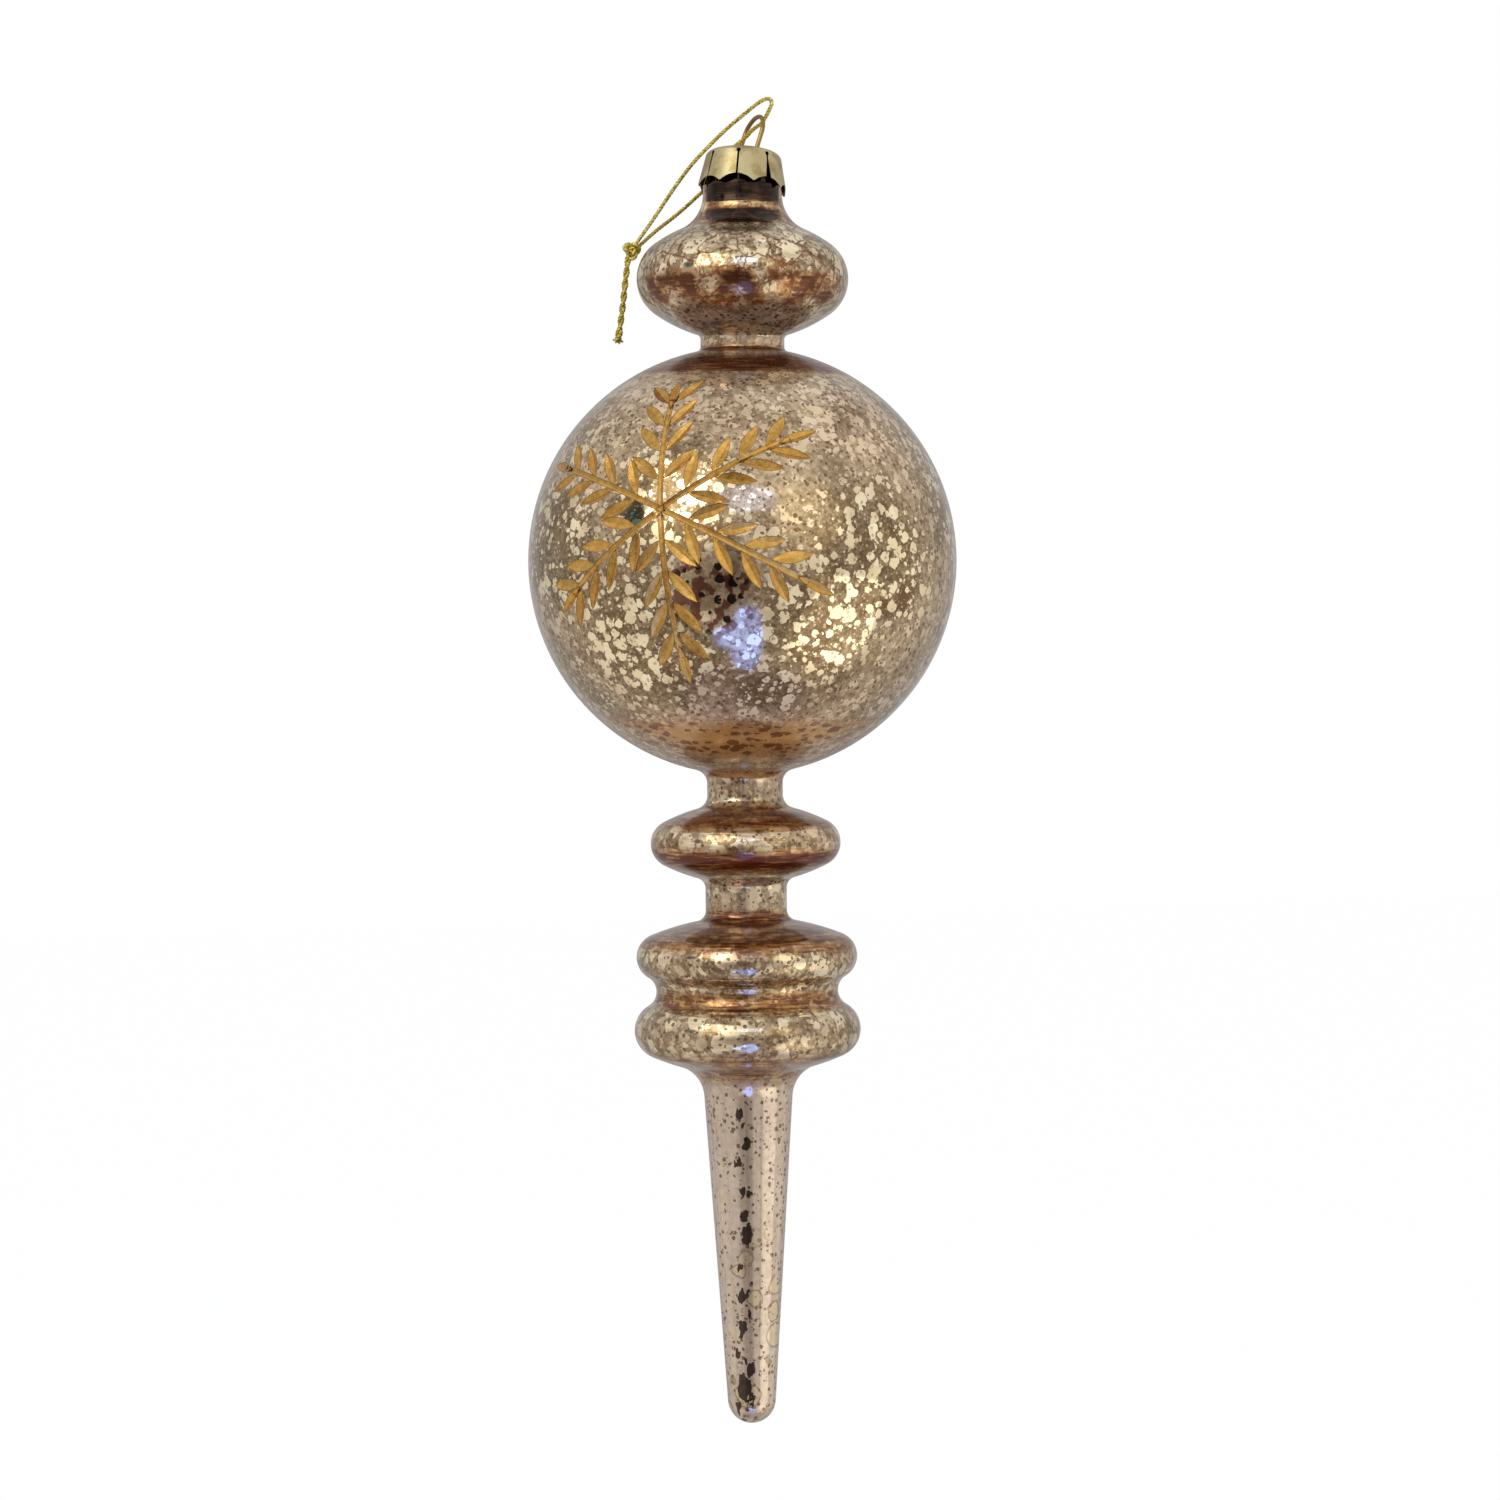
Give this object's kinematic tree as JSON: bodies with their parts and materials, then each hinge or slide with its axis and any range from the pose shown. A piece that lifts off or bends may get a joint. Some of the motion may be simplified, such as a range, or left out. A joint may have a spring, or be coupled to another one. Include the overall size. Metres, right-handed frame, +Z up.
{
  "type": "finial ornament",
  "caption": "Blown glass finial ornament: capped neck, bead, ball with a cut snowflake, two lower beads and a long tapering drop, hung by a wire loop and a gold thread.",
  "frame": {"origin": "inside top of the wire loop, where a hook carries the weight", "axes": "+Z up with the ornament hanging; X is the way a hook passes through the loop; Y runs across the loop, with the snowflake towards -X and -Y"},
  "size_m": [0.1, 0.1, 0.3101],
  "materials": {
    "silvered_glass": "glossy, crackled rose champagne silvering, matte gold in the cut snowflake",
    "pressed_cap": "satin, pale",
    "wire": "gold lacquered, glossy",
    "thread": "metallic gold, twisted"
  },
  "bodies": {
    "root": {"glass_body": "silvered_glass", "cap": "pressed_cap", "hanger_wire": "wire", "thread_loop": "thread", "thread_knot": "thread", "thread_tails": "thread"}
  },
  "joints": []
}
